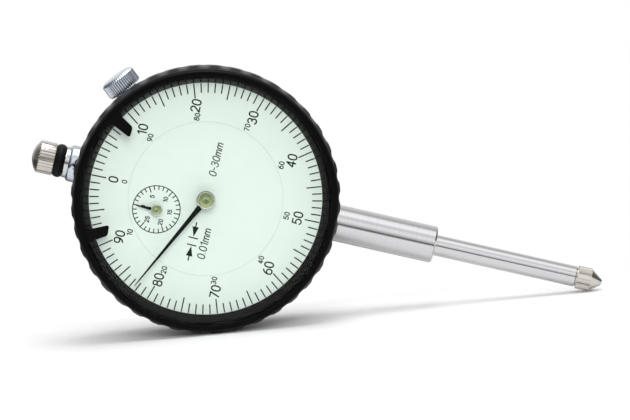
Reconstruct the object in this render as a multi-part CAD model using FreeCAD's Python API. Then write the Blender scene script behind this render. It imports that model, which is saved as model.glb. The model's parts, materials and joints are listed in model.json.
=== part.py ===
import FreeCAD, Part
import math
import os

from FreeCAD import Placement, Rotation, Vector

# Dial indicator, 30 mm travel, 0.01 mm graduations.  Millimetres.
# +Z runs up the plunger towards its cap, the dial faces -Y, and +X is right as the dial is read.
# The origin is on the plunger's axis, halfway along the 8 mm clamping stem.

os.makedirs("parts", exist_ok=True)

# ---- driving dimensions -------------------------------------------------------------------
dial_z = 40.0                 # height of the dial's centre above the origin
dial_y = -9.9                 # front face of the dial; the plunger's axis is at y = 0
travel = 30.0

case_outer = 26.6
case_inner = 24.6
case_front = -5.8             # shoulder that the bezel turns in front of
case_back = 7.0
spigot_outer = 26.04          # the bezel turns on this spigot
spigot_front = -9.0

bezel_front = -14.5
bezel_back = -6.0
bezel_bore = 26.1
bezel_widest = 29.2
bezel_lip_outer = 28.2
bezel_lip_inner = 27.1
bezel_dial_opening = 25.25
flute_count = 40
flute_radius = 3.2
flute_depth = 0.34

crystal_front = -13.9
crystal_back = -13.0
gasket_depth = 0.15
groove_depth = 0.55           # groove in the bezel's lip for the feet of the limit markers
groove_width = 0.45
marker_thickness = 0.35
marker_clearance = 0.05

dial_thickness = 0.5
seam_radius = 16.8            # where the turning scale ring meets the fixed inner dial
seam_gap = 0.05

front_plate = (-8.2, -7.2)    # front and back face of each movement plate
rear_plate = (-3.4, -2.6)
bridge_arm = (2.7, 3.7)
front_plate_radius = 21.0
rear_plate_radius = 22.5

stem_radius = 4.0
stem_edge = 0.35              # chamfers at both ends of the clamping stretch
stem_spigot = stem_radius - stem_edge
stem_bore = 3.0
stem_low = -11.4              # the clamping stretch is the same length above and below the origin
stem_high = 11.4
stem_inner_end = 22.8         # from the dial's axis to the stem's and the bush's inner ends
spindle_radius = 2.25
spindle_low = dial_z - 83.0
spindle_high = dial_z + 33.3
bush_bore = spindle_radius + 0.04
upper_bush_top = dial_z + 30.4
thread_radius = 1.25

rack_pitch = 0.625
gear_module = rack_pitch / math.pi
pressure_angle = math.radians(20)
tooth_share = 0.46            # tooth thickness over pitch, the rest is backlash
rack_teeth = 16
large_teeth = 100
centre_teeth = 10
drive_teeth = 18
counter_teeth = 54
rack_pitch_x = -1.6
journal_radius = 0.5
journal_clearance = 0.02
arbor_radius = 0.8

centre = (0.0, dial_z)        # arbors are given as (x, z)
arbor_distance = gear_module * (large_teeth + centre_teeth) / 2
rack_arbor_x = rack_pitch_x - gear_module * rack_teeth / 2
rack_arbor_z = dial_z - math.sqrt(arbor_distance ** 2 - rack_arbor_x ** 2)
rack_arbor = (rack_arbor_x, rack_arbor_z)
counter_offset = 10.9         # distance of the counter's small dial from the main centre
counter_angle = -25.0         # clockwise from the top of the dial
rack_gear_layer = (-4.5, -3.8)
take_up_layer = (-6.1, -5.4)
hairspring_layer = (-4.9, -4.4)
hairspring_start = 1.65       # inner radius of the spiral
hairspring_growth = 0.23      # per half turn
hairspring_half_turns = 14
hairspring_strip = 0.1
counter_layer = (-9.1, -8.5)

pointer_reading = 82.4
pointer_length = 24.3
pointer_back = -11.95
pointer_front = -12.1
counter_pointer_back = -10.7
counter_pointer_front = -10.85

clamp_angle = 40.4
clamp_y = -1.9
clamp_travel = 0.125
marker_angles = {"high_limit_marker": 30.0, "low_limit_marker": -29.6}

back_screw_angles = (20, 160, 200, 340)
back_screw_circle = 22.6
plate_screw_angles = (90, 222, 325)
plate_screw_circle = 21.2
pillar_places = ((14.0, 8.0), (12.0, -14.0), (-17.5, -9.5), (-6.0, 18.5))   # (x, z - dial_z)
rail_half_length = 22.3
guide_pin_z = dial_z - 12.0
spring_x = 7.2
anchor_z = dial_z - 21.0
spring_wire = 0.15

lug_thickness = 5.0
lug_hole_radius = 3.25
lug_radius = 7.0
lug_hole_y = 16.4
cover_thickness = 1.4


# ---- helpers ------------------------------------------------------------------------------
def save(name, *solids):
    shape = solids[0] if len(solids) == 1 else Part.makeCompound(list(solids))
    shape.exportStep("parts/" + name + ".step")
    print(name, len(shape.Solids), round(shape.Volume, 3), shape.isValid())


def on_dial(radius, degrees):
    """Place (x, z) at an angle clockwise from the top of the dial."""
    turn = math.radians(degrees)
    return (radius * math.sin(turn), dial_z + radius * math.cos(turn))


def disc(radius, faces, place=centre):
    front, back = faces
    return Part.makeCylinder(radius, back - front, Vector(place[0], front, place[1]), Vector(0, 1, 0))


def ring(outer, inner, faces, place=centre):
    return disc(outer, faces, place).cut(disc(inner, faces, place))


def rod(radius, low, high):
    """Cylinder on the plunger's axis."""
    return Part.makeCylinder(radius, high - low, Vector(0, 0, low))


def tube(outer, inner, low, high):
    return rod(outer, low, high).cut(rod(inner, low, high))


def block(x, y, z):
    return Part.makeBox(x[1] - x[0], y[1] - y[0], z[1] - z[0], Vector(x[0], y[0], z[0]))


def face_of(points):
    return Part.Face(Part.makePolygon(points + [points[0]]))


def turned_about_dial(outline, place=centre):
    """Turn an outline of (radius, y) points about an arbor or the dial's axis."""
    points = [Vector(place[0] + radius, y, place[1]) for radius, y in outline]
    return face_of(points).revolve(Vector(place[0], 0, place[1]), Vector(0, 1, 0), 360)


def turned_about_plunger(outline):
    """Turn an outline of (radius, z) points about the plunger's axis."""
    points = [Vector(radius, 0, z) for radius, z in outline]
    return face_of(points).revolve(Vector(0, 0, 0), Vector(0, 0, 1), 360)


def knurled_outline(radius, depth, count):
    points = []
    for i in range(2 * count):
        r = radius if i % 2 == 0 else radius - depth
        turn = math.pi * i / count
        points.append(Vector(r * math.cos(turn), r * math.sin(turn), 0))
    return points


def radial(shape, degrees, y):
    """Move a shape made along +Z from the origin onto a radius of the dial."""
    return shape.transformed(Placement(Vector(0, y, dial_z), Rotation(Vector(0, 1, 0), degrees)).Matrix)


def at_dial_angle(shape, degrees):
    turned = shape.copy()
    turned.rotate(Vector(0, 0, dial_z), Vector(0, 1, 0), degrees)
    return turned


def screw(place, seat, reach, shank, head, head_height, leaves=-1):
    """A slotted screw along Y; leaves is the side the head stands on."""
    x, z = place
    out = Vector(0, leaves, 0)
    base = Vector(x, seat, z)
    body = Part.makeCylinder(head, head_height, base, out)
    body = body.fuse(Part.makeCylinder(shank, reach, base, out * -1))
    slot_width = head * 0.28
    slot_depth = head_height * 0.45
    top = seat + leaves * head_height
    low, high = sorted((top, top - leaves * slot_depth))
    slot = block((x - head, x + head), (low, high), (z - slot_width / 2, z + slot_width / 2))
    return body.cut(slot)


# ---- gears --------------------------------------------------------------------------------
def involute(angle):
    return math.tan(angle) - angle


def gear_outline(teeth, tooth_angle):
    """Tooth outline about (0, 0) in the x-z plane; tooth_angle is a tooth's middle, from +X."""
    pitch = gear_module * teeth / 2
    base = pitch * math.cos(pressure_angle)
    root = pitch - 1.2 * gear_module
    tip = pitch + 0.85 * gear_module
    middle = tooth_share * math.pi / teeth + involute(pressure_angle)
    flank = []
    for radius in (root, max(base, root) + 0.001, pitch, (pitch + tip) / 2, tip):
        slope = math.acos(min(1.0, base / radius))
        flank.append((radius, middle - involute(slope)))
    points = []
    for i in range(teeth):
        turn = math.radians(tooth_angle) + 2 * math.pi * i / teeth
        for radius, half in flank:
            points.append((radius, turn - half))
        for radius, half in reversed(flank):
            points.append((radius, turn + half))
    return [(r * math.cos(a), r * math.sin(a)) for r, a in points]


def gear(teeth, tooth_angle, place, layer):
    front, back = layer
    points = [Vector(place[0] + x, front, place[1] + z) for x, z in gear_outline(teeth, tooth_angle)]
    return face_of(points).extrude(Vector(0, back - front, 0))


def meshed(driver, driver_teeth, driver_angle, follower, follower_teeth):
    """Tooth angle that puts the follower in mesh with its driver."""
    line = math.degrees(math.atan2(follower[1] - driver[1], follower[0] - driver[0]))
    lead = driver_angle - line
    return line + 180 + 180 / follower_teeth - lead * driver_teeth / follower_teeth


def lightened(wheel, place, layer, hole_circle, hole_radius, count):
    """A wheel with round holes between its hub and its rim."""
    holes = []
    for i in range(count):
        turn = 2 * math.pi * (i + 0.5) / count
        spot = (place[0] + hole_circle * math.cos(turn), place[1] + hole_circle * math.sin(turn))
        holes.append(disc(hole_radius, layer, spot))
    return wheel.cut(Part.makeCompound(holes))


def take_up_place():
    """Arbor that meshes with the centre pinion and drives the counter's wheel."""
    reach = gear_module * (drive_teeth + counter_teeth) / 2
    cosine = arbor_distance ** 2 + counter_offset ** 2 - reach ** 2
    apart = math.degrees(math.acos(cosine / (2 * arbor_distance * counter_offset)))
    return on_dial(arbor_distance, counter_angle - apart)


counter_arbor = on_dial(counter_offset, counter_angle)
take_up_arbor = take_up_place()
to_centre = math.degrees(math.atan2(centre[1] - rack_arbor[1], centre[0] - rack_arbor[0]))
centre_tooth = meshed(rack_arbor, large_teeth, to_centre, centre, centre_teeth)
take_up_tooth = meshed(centre, centre_teeth, centre_tooth, take_up_arbor, large_teeth)
to_counter = math.degrees(math.atan2(counter_arbor[1] - take_up_arbor[1],
                                     counter_arbor[0] - take_up_arbor[0]))
counter_tooth = meshed(take_up_arbor, drive_teeth, to_counter, counter_arbor, counter_teeth)


# ---- case ---------------------------------------------------------------------------------
def case_bosses():
    """Inner bosses for the screws, the stem, the upper bush and the clamp screw."""
    back_bosses = [disc(2.2, (2.5, case_back), place) for place in back_screw_spots(0.4)]
    plate_bosses = [disc(2.6, (rear_plate[1], 1.5), place) for place in plate_screw_spots(1.4)]
    boss_radius = 5.2
    boss_reach = case_outer - 0.4
    lower_boss = rod(boss_radius, dial_z - boss_reach, dial_z - stem_inner_end)
    upper_boss = rod(boss_radius, dial_z + stem_inner_end, dial_z + boss_reach)
    clamp_boss = radial(Part.makeCylinder(2.6, 2.6, Vector(0, 0, 25.0)), clamp_angle, clamp_y)
    return back_bosses + plate_bosses + [lower_boss, upper_boss, clamp_boss]


def back_screw_spots(outwards=0.0):
    return [on_dial(back_screw_circle + outwards, degrees) for degrees in back_screw_angles]


def plate_screw_spots(outwards=0.0):
    return [on_dial(plate_screw_circle + outwards, degrees) for degrees in plate_screw_angles]


def clamp_bore():
    bore = Part.makeCylinder(thread_radius + 0.03, 8, Vector(0, 0, 20))
    return radial(bore, clamp_angle, clamp_y)


def case_cuts():
    """Bores for the stem, the bush and the screws, the dog's window and the retaining ring's groove."""
    beyond = case_outer + 2
    within = stem_inner_end - 1
    cuts = [rod(stem_spigot, dial_z - beyond, dial_z - within)]
    cuts.append(rod(stem_radius, dial_z + within, dial_z + beyond))
    cuts += [disc(1.0, (3.4, case_back), place) for place in back_screw_spots()]
    cuts += [disc(0.9, (rear_plate[1], 0.4), place) for place in plate_screw_spots()]
    window = block((-2.6, 2.6), (spigot_front, case_front - 0.1), (dial_z + 24.0, dial_z + 27.0))
    groove = ring(spigot_outer + 0.5, 25.5, (-7.6, -7.0))
    return cuts + [clamp_bore(), at_dial_angle(window, clamp_angle), groove]


def case_body():
    bodywork = ring(case_outer, case_inner, (case_front, case_back - 0.3))
    spigot = ring(spigot_outer, case_inner, (spigot_front, case_front))
    return bodywork.fuse([spigot] + case_bosses()).cut(case_cuts())


def stem():
    """Clamping stem; above its ground stretch a thinner spigot is pressed into the case."""
    top = dial_z - stem_inner_end
    return turned_about_plunger([
        (stem_bore, stem_low), (stem_spigot, stem_low), (stem_radius, stem_low + stem_edge),
        (stem_radius, stem_high - stem_edge), (stem_spigot, stem_high), (stem_spigot, top),
        (stem_bore, top)])


def upper_bush():
    low = dial_z + stem_inner_end
    corner = 0.8
    arc_middle = corner * (1 - math.sqrt(0.5))
    lower = Vector(stem_radius, 0, upper_bush_top - corner)
    upper = Vector(stem_radius - corner, 0, upper_bush_top)
    middle = Vector(stem_radius - arc_middle, 0, upper_bush_top - arc_middle)
    edges = [
        Part.LineSegment(Vector(stem_bore, 0, low), Vector(stem_radius, 0, low)).toShape(),
        Part.LineSegment(Vector(stem_radius, 0, low), lower).toShape(),
        Part.Arc(lower, middle, upper).toShape(),
        Part.LineSegment(upper, Vector(stem_bore, 0, upper_bush_top)).toShape(),
        Part.LineSegment(Vector(stem_bore, 0, upper_bush_top), Vector(stem_bore, 0, low)).toShape()]
    return Part.Face(Part.Wire(edges)).revolve(Vector(0, 0, 0), Vector(0, 0, 1), 360)


def lower_guide_bush():
    return tube(stem_bore, bush_bore, stem_low + 0.3, stem_low + 8.3)


def upper_guide_bush():
    """Bearing sleeve whose flange is the thin bright ring on top of the bush."""
    sleeve = tube(stem_bore, bush_bore, dial_z + 23.5, upper_bush_top)
    return sleeve.fuse(tube(3.4, bush_bore, upper_bush_top, upper_bush_top + 0.75)).removeSplitter()


def back_gasket():
    return ring(case_outer - 0.1, case_inner + 0.6, (case_back - 0.3, case_back))


def back_cover():
    rear = case_back + cover_thickness
    plate = turned_about_dial([
        (0.0, case_back), (case_outer, case_back), (case_outer, rear - 0.6),
        (case_outer - 0.6, rear), (0.0, rear)])
    half = lug_thickness / 2
    pad = block((-half - 1.5, half + 1.5), (rear, rear + 0.9), (dial_z - 9.5, dial_z + 9.5))
    hole = Part.makeCylinder(lug_hole_radius, 12, Vector(-6, lug_hole_y, dial_z), Vector(1, 0, 0))
    shape = plate.fuse([pad, lug(rear)]).cut(hole)
    for place in back_screw_spots():
        shape = shape.cut([disc(1.1, (case_back, rear), place), disc(1.95, (rear - 0.6, rear), place)])
    return shape


def lug(rear):
    """Flat eye that stands out from the middle of the cover, with its outer edges bevelled."""
    half = lug_thickness / 2
    shank = block((-half, half), (rear, lug_hole_y), (dial_z - lug_radius, dial_z + lug_radius))
    eye = Part.makeCylinder(lug_radius, lug_thickness, Vector(-half, lug_hole_y, dial_z), Vector(1, 0, 0))
    shape = shank.fuse(eye).removeSplitter()
    sides = [edge for edge in shape.Edges if edge.BoundBox.XLength < 0.01 and edge.BoundBox.YLength > 1]
    return shape.makeChamfer(0.4, sides)


def back_cover_screws():
    seat = case_back + cover_thickness - 0.6
    return [screw(place, seat, 3.6, 1.0, 1.9, 0.9, leaves=1) for place in back_screw_spots()]


def bezel_retaining_ring():
    """Open spring ring that holds the bezel on the spigot; its gap leaves room for the clamp dog."""
    whole = ring(26.5, 25.55, (-7.55, -7.05))
    gap = block((-5.0, 5.0), (-8, -6.5), (dial_z + 20, dial_z + 30))
    return whole.cut(at_dial_angle(gap, clamp_angle))


# ---- bezel --------------------------------------------------------------------------------
def bezel():
    seat = crystal_back + gasket_depth
    groove = bezel_lip_inner + groove_depth
    shape = turned_about_dial([
        (bezel_lip_inner, bezel_front), (bezel_lip_outer, bezel_front),
        (bezel_lip_outer + 0.25, bezel_front + 0.2), (bezel_widest, -11.4), (bezel_widest, -10.4),
        (bezel_widest - 0.25, -7.2), (28.4, bezel_back), (bezel_bore, bezel_back),
        (bezel_bore, -6.95), (26.65, -6.95), (26.65, -7.7), (bezel_bore, -7.7),
        (bezel_bore, dial_y), (bezel_dial_opening, dial_y), (26.55, seat),
        (bezel_lip_inner, seat), (bezel_lip_inner, crystal_front), (groove, crystal_front),
        (groove, crystal_front - groove_width), (bezel_lip_inner, crystal_front - groove_width)])
    hollow = bezel_widest - flute_depth + flute_radius
    flutes = []
    for i in range(flute_count):
        spot = on_dial(hollow, 360 * (i + 0.5) / flute_count)
        flutes.append(disc(flute_radius, (bezel_front - 1, bezel_back + 1), spot))
    return shape.cut(Part.makeCompound(flutes))


def crystal():
    edge = 0.15
    return turned_about_dial([
        (0.0, crystal_front), (bezel_lip_inner - edge, crystal_front),
        (bezel_lip_inner, crystal_front + edge), (bezel_lip_inner, crystal_back), (0.0, crystal_back)])


def crystal_gasket():
    return ring(bezel_lip_inner, 26.65, (crystal_back, crystal_back + gasket_depth))


def scale_ring():
    return ring(bezel_bore, seam_radius + seam_gap, (dial_y, dial_y + dial_thickness))


def limit_marker(degrees):
    """Tab over the crystal whose foot slides in the groove of the bezel's lip.

    The corner of its slanted tip that is nearer the zero mark reaches further in.
    """
    side = 1 if degrees > 0 else -1
    back = crystal_front - marker_clearance
    foot_radius = bezel_lip_inner + groove_depth - marker_clearance
    foot_half = 2.0

    def at(x, radius):
        return Vector(side * x, back, dial_z + radius)

    rim = math.sqrt(foot_radius ** 2 - foot_half ** 2)
    long_side = [at(-foot_half, rim), at(-foot_half, 26.75), at(-1.45, 25.6), at(-1.15, 22.3)]
    slant = [at(-0.7, 21.7), at(0.62, 22.35)]
    short_side = [at(1.05, 23.3), at(1.05, 25.6), at(foot_half - 0.3, 26.75), at(foot_half, rim)]
    edges = []
    for run in (long_side, slant, short_side):
        edges += [Part.LineSegment(a, b).toShape() for a, b in zip(run, run[1:])]
    edges.append(Part.Arc(long_side[-1], at(-1.03, 21.86), slant[0]).toShape())
    edges.append(Part.Arc(slant[-1], at(0.93, 22.68), short_side[0]).toShape())
    edges.append(Part.Arc(short_side[-1], at(0, foot_radius), long_side[0]).toShape())
    outline = Part.Face(Part.Wire(Part.__sortEdges__(edges)))
    return at_dial_angle(outline.extrude(Vector(0, -marker_thickness, 0)), degrees)


# ---- bezel clamp --------------------------------------------------------------------------
def clamp_screw():
    """Knurled screw on a radius of the dial; it draws the dog outwards."""
    head_low = 28.7
    head_high = 32.4
    head_radius = 3.9
    outline = face_of(knurled_outline(head_radius, 0.22, 48))
    outline.translate(Vector(0, 0, head_low))
    head = outline.extrude(Vector(0, 0, head_high - head_low))
    envelope = turned_about_plunger([
        (0, head_low), (head_radius - 0.35, head_low), (head_radius, head_low + 0.35),
        (head_radius, head_high - 0.75), (head_radius - 0.5, head_high - 0.25),
        (2.6, head_high), (0, head_high)])
    neck = rod(2.65, 27.65, head_low)
    shank = rod(thread_radius, case_inner - 1.95, 27.65)
    return radial(head.common(envelope).fuse([neck, shank]), clamp_angle, clamp_y)


def clamp_dog():
    half = 2.5
    body = ring(case_inner - 0.2, case_inner - 1.7, (-8.8, 1.2))
    nose = ring(bezel_bore - 0.02 - clamp_travel, case_inner - 0.6, (-8.8, -6.2))
    width = block((-half, half), (-9, 2), (dial_z + 20, dial_z + 28))
    dog = body.fuse(nose).common(width).removeSplitter()
    return at_dial_angle(dog, clamp_angle).cut(clamp_bore())


# ---- movement plates ----------------------------------------------------------------------
def dial_feet():
    return [(6.0, dial_z - 9.0), (9.0, dial_z + 8.5)]


def inner_dial():
    shape = disc(seam_radius - seam_gap, (dial_y, dial_y + dial_thickness))
    shape = shape.fuse([disc(0.6, (dial_y + dial_thickness, -7.6), place) for place in dial_feet()])
    return shape.cut([disc(1.3, (dial_y - 1, -7), centre), disc(0.8, (dial_y - 1, -9), counter_arbor)])


def pillar_spots():
    return [(x, dial_z + z) for x, z in pillar_places]


def front_plate_body():
    shape = disc(front_plate_radius, front_plate)
    holes = [disc(1.2, front_plate, place) for place in (rack_arbor, centre, take_up_arbor, counter_arbor)]
    holes += [disc(0.65, front_plate, place) for place in dial_feet()]
    holes += [disc(0.75, front_plate, place) for place in pillar_spots()]
    return shape.cut(holes)


def rail_screw_spots():
    return [(4.95, dial_z + 20.9), (4.95, dial_z - 20.9)]


def bridge_screw_spots():
    return [(-10.0, rack_arbor[1] - 1.8), (-10.0, rack_arbor[1] + 1.8)]


def rear_plate_body():
    shape = disc(rear_plate_radius, rear_plate)
    holes = [disc(1.2, rear_plate, place) for place in (centre, take_up_arbor)]
    holes.append(disc(1.6, rear_plate, rack_arbor))
    holes += [disc(0.9, rear_plate, place) for place in plate_screw_spots()]
    holes += [disc(0.75, rear_plate, place) for place in pillar_spots()]
    holes += [disc(0.6, rear_plate, place) for place in rail_screw_spots() + bridge_screw_spots()]
    holes += [disc(1.1, (rear_plate[0], rear_plate[0] + 0.4), place) for place in rail_screw_spots()]
    return shape.cut(holes)


def plate_pillars():
    span = (front_plate[1], rear_plate[0])
    tails = (rear_plate[0], rear_plate[1])
    pillars = []
    for place in pillar_spots():
        pillar = disc(1.5, span, place).fuse(disc(0.75, tails, place)).removeSplitter()
        pillars.append(pillar.cut(disc(0.7, (front_plate[1], front_plate[1] + 2.2), place)))
    return pillars


def pillar_screws():
    return [screw(place, front_plate[0], 3.0, 0.7, 1.4, 0.7) for place in pillar_spots()]


def plate_screws():
    return [screw(place, rear_plate[0], 3.6, 0.85, 1.5, 0.8) for place in plate_screw_spots()]


def rack_bridge():
    """Bridge behind the plunger's left side that carries the rear pivot of the rack pinion."""
    heights = (rack_arbor[1] - 3.4, rack_arbor[1] + 3.4)
    leg = block((-12.0, -7.6), (rear_plate[1], bridge_arm[1]), heights)
    arm = block((-7.6, -1.7), bridge_arm, heights)
    shape = leg.fuse(arm).removeSplitter()
    holes = [disc(0.75, (rear_plate[1], bridge_arm[1]), place) for place in bridge_screw_spots()]
    return shape.cut(holes + [disc(1.2, bridge_arm, rack_arbor)])


def bridge_screws():
    reach = bridge_arm[1] - rear_plate[0] - 0.1
    return [screw(place, bridge_arm[1], reach, 0.6, 1.3, 0.8, leaves=1) for place in bridge_screw_spots()]


def pivot_bushes():
    bore = journal_radius + journal_clearance
    bushes = [ring(1.2, bore, front_plate, place) for place in (rack_arbor, centre, take_up_arbor)]
    bushes += [ring(1.2, bore, rear_plate, place) for place in (centre, take_up_arbor)]
    bushes.append(ring(1.2, bore, bridge_arm, rack_arbor))
    return bushes


def counter_bush():
    bore = journal_radius + journal_clearance
    return ring(1.2, bore, (front_plate[0], -6.5), counter_arbor)


# ---- plunger ------------------------------------------------------------------------------
def rack_cuts():
    """Flat along the plunger's left side, with the spaces between the rack's teeth."""
    tip_x = rack_pitch_x - 0.85 * gear_module
    root_x = rack_pitch_x + 1.2 * gear_module
    low = rack_arbor[1] - travel - 2.0
    high = rack_arbor[1] + 2.0
    cuts = [block((-spindle_radius - 1, tip_x), (-3, 3), (low, high))]
    lean = math.tan(pressure_angle)
    half = rack_pitch * (1 - tooth_share) / 2
    mouth = half + lean * (rack_pitch_x - tip_x + 0.2)
    floor = half - lean * (root_x - rack_pitch_x)
    first = int((low - rack_arbor[1] + 0.4) / rack_pitch)
    last = int((high - rack_arbor[1] - 0.4) / rack_pitch)
    for i in range(first, last + 1):
        z = rack_arbor[1] + i * rack_pitch
        points = [
            Vector(tip_x - 0.2, -3, z - mouth), Vector(root_x, -3, z - floor),
            Vector(root_x, -3, z + floor), Vector(tip_x - 0.2, -3, z + mouth)]
        cuts.append(face_of(points).extrude(Vector(0, 6, 0)))
    return cuts


def spindle():
    edge = 0.2
    body = turned_about_plunger([
        (0, spindle_low), (spindle_radius - edge, spindle_low), (spindle_radius, spindle_low + edge),
        (spindle_radius, spindle_high), (thread_radius, spindle_high),
        (thread_radius, spindle_high + 3.0), (0, spindle_high + 3.0)])
    contact_hole = rod(thread_radius, spindle_low, spindle_low + 4.0)
    pin_hole = Part.makeCylinder(0.8, 3, Vector(0.9, 0, guide_pin_z), Vector(1, 0, 0))
    return body.cut(rack_cuts()).cut([contact_hole, pin_hole])


def guide_pin():
    return Part.makeCylinder(0.8, 7.4, Vector(0.9, 0, guide_pin_z), Vector(1, 0, 0))


def contact_point():
    """Screwed-in contact: knurled collar, then a cone that holds the ball."""
    collar_high = spindle_low - 0.3
    collar_low = spindle_low - 3.3
    outline = face_of(knurled_outline(2.5, 0.09, 44))
    outline.translate(Vector(0, 0, collar_low))
    collar = outline.extrude(Vector(0, 0, collar_high - collar_low))
    neck = rod(2.0, collar_high, spindle_low)
    cone = turned_about_plunger([
        (0, collar_low), (2.42, collar_low), (0.95, collar_low - 1.95), (0, collar_low - 1.95)])
    stud = rod(thread_radius, spindle_low, spindle_low + 3.6)
    shape = collar.fuse([neck, cone, stud]).removeSplitter()
    return shape.cut(Part.makeSphere(1.0, Vector(0, 0, ball_z())))


def ball_z():
    return spindle_low - 4.9


def contact_ball():
    return Part.makeSphere(1.0, Vector(0, 0, ball_z()))


def spindle_cap():
    """Domed cap with a straight knurl, screwed on the plunger's top."""
    low = spindle_high
    high = spindle_high + 3.8
    dome_rise = 1.2
    radius = 3.55
    outline = face_of(knurled_outline(radius, 0.18, 44))
    outline.translate(Vector(0, 0, low))
    barrel = outline.extrude(Vector(0, 0, high - low))
    envelope = turned_about_plunger([
        (0, low), (radius - 0.3, low), (radius, low + 0.3), (radius, high - 0.3),
        (radius - 0.3, high), (0, high)])
    crown = radius - 0.3
    dome_radius = (crown ** 2 + dome_rise ** 2) / (2 * dome_rise)
    dome = Part.makeSphere(dome_radius, Vector(0, 0, high + dome_rise - dome_radius))
    dome = dome.common(rod(crown, high, high + dome_rise + 1))
    shape = barrel.common(envelope).fuse(dome)
    return shape.cut(rod(thread_radius, low, low + 3.2))


def bumper_o_ring():
    """Rubber ring under the cap that meets the guide bush at the bottom of the travel."""
    outer = 3.65
    flat = outer - 0.45
    low = Vector(spindle_radius, 0, spindle_high - 2.05)
    high = Vector(spindle_radius, 0, spindle_high)
    low_edge = Vector(flat, 0, low.z)
    high_edge = Vector(flat, 0, high.z)
    bulge = Part.Arc(low_edge, Vector(outer, 0, (low.z + high.z) / 2), high_edge)
    edges = [
        Part.LineSegment(low, low_edge).toShape(), bulge.toShape(),
        Part.LineSegment(high_edge, high).toShape(), Part.LineSegment(high, low).toShape()]
    return Part.Face(Part.Wire(edges)).revolve(Vector(0, 0, 0), Vector(0, 0, 1), 360)


def guide_rail():
    """Slotted rail that keeps the plunger from turning."""
    slot_half = 0.85
    reach = rail_half_length
    bar = block((4.2, 5.7), (rear_plate[1], 1.9), (dial_z - reach, dial_z + reach))
    slot = block((4, 6), (-slot_half, slot_half), (guide_pin_z - 1.2, guide_pin_z + travel + 1.2))
    screw_holes = [disc(0.6, (rear_plate[1], 1.0), place) for place in rail_screw_spots()]
    return bar.cut([slot] + screw_holes)


def guide_rail_screws():
    seat = rear_plate[0] + 0.4
    return [screw(place, seat, 3.4, 0.6, 1.1, 0.4) for place in rail_screw_spots()]


def spring_anchor_pin():
    return disc(0.5, (rear_plate[1], 1.3), (spring_x, anchor_z))


def return_spring():
    """Tension spring from the anchor pin up to the plunger's guide pin."""
    coil_radius = 1.1
    low = anchor_z + 0.85
    high = guide_pin_z - 1.15
    turns = 12
    helix = Part.makeHelix((high - low) / turns, high - low, coil_radius)
    helix.translate(Vector(spring_x, 0, low))
    start = Vector(spring_x + coil_radius, 0, low)
    section = Part.Wire(Part.makeCircle(spring_wire, start, Vector(0, 1, 0)))
    coil = Part.Wire(helix).makePipeShell([section], True, True)
    hooks = [
        Part.makeTorus(0.8, spring_wire, Vector(spring_x, 0, anchor_z), Vector(0, 1, 0)),
        Part.makeTorus(1.1, spring_wire, Vector(spring_x, 0, guide_pin_z), Vector(1, 0, 0))]
    links = []
    for z in (low, high):
        links.append(Part.makeCylinder(spring_wire, coil_radius, Vector(spring_x, 0, z), Vector(1, 0, 0)))
    return coil.fuse(hooks + links)


# ---- arbors and wheels --------------------------------------------------------------------
def arbor(place, rear_pivot, front_pivot, shoulder_back, shoulder_front):
    """Stepped arbor: thin journals at each end of a thicker middle."""
    journals = disc(journal_radius, (front_pivot, rear_pivot), place)
    middle = disc(arbor_radius, (shoulder_front, shoulder_back), place)
    return journals.fuse(middle)


def rack_pinion_arbor():
    shaft = arbor(rack_arbor, bridge_arm[1], front_plate[0], bridge_arm[0] - 0.1, front_plate[1] + 0.1)
    return shaft.fuse(gear(rack_teeth, 0, rack_arbor, (-1.3, 1.3)))


def bored_wheel(tooth_angle, place, layer):
    wheel = gear(large_teeth, tooth_angle, place, layer)
    wheel = lightened(wheel, place, layer, 5.6, 2.0, 6)
    return wheel.cut(disc(arbor_radius, layer, place))


def centre_pinion_arbor():
    pinion = (take_up_layer[0] - 0.3, rack_gear_layer[1] + 0.3)
    shaft = disc(journal_radius, (pointer_front + 0.4, rear_plate[1]), centre)
    shaft = shaft.fuse(disc(0.75, (front_plate[1] + 0.1, pinion[0]), centre))
    return shaft.fuse(gear(centre_teeth, centre_tooth, centre, pinion))


def take_up_shaft():
    shaft = disc(journal_radius, (counter_layer[0], rear_plate[1]), take_up_arbor)
    return shaft.fuse(disc(arbor_radius, (front_plate[1] + 0.1, rear_plate[0] - 0.1), take_up_arbor))


def hairspring_collet():
    return ring(1.4, arbor_radius, (take_up_layer[1], rear_plate[0] - 0.3), take_up_arbor)


def counter_drive_pinion():
    pinion = gear(drive_teeth, to_counter, take_up_arbor, counter_layer)
    return pinion.cut(disc(journal_radius, counter_layer, take_up_arbor))


def counter_shaft():
    back = -6.3
    shaft = disc(journal_radius, (counter_pointer_front - 0.3, back), counter_arbor)
    return shaft.fuse(disc(0.9, (-6.45, back), counter_arbor))


def counter_gear():
    wheel = gear(counter_teeth, counter_tooth, counter_arbor, counter_layer)
    wheel = lightened(wheel, counter_arbor, counter_layer, 3.1, 1.1, 5)
    return wheel.cut(disc(journal_radius, counter_layer, counter_arbor))


def hairspring():
    """Flat spiral of half circles on two centres; it stays clear of the collet it winds round."""
    front, back = hairspring_layer
    x, z = take_up_arbor

    def edge(start):
        """One side of the strip, from the radius of its first half circle outwards."""
        arcs = []
        for i in range(hairspring_half_turns):
            radius = start + hairspring_growth * i
            middle = x + hairspring_growth * (i % 2)
            side = radius if i % 2 == 0 else -radius
            arcs.append(Part.Arc(Vector(middle + side, front, z), Vector(middle, front, z + side),
                                 Vector(middle - side, front, z)).toShape())
        return arcs

    def across(radius):
        return Part.LineSegment(Vector(x + radius, front, z),
                                Vector(x + radius + hairspring_strip, front, z)).toShape()

    sides = edge(hairspring_start) + edge(hairspring_start + hairspring_strip)
    ends = [across(hairspring_start), across(hairspring_end())]
    outline = Part.Wire(Part.__sortEdges__(sides + ends))
    return Part.Face(outline).extrude(Vector(0, back - front, 0))


def hairspring_end():
    return hairspring_start + hairspring_growth * hairspring_half_turns


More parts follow.
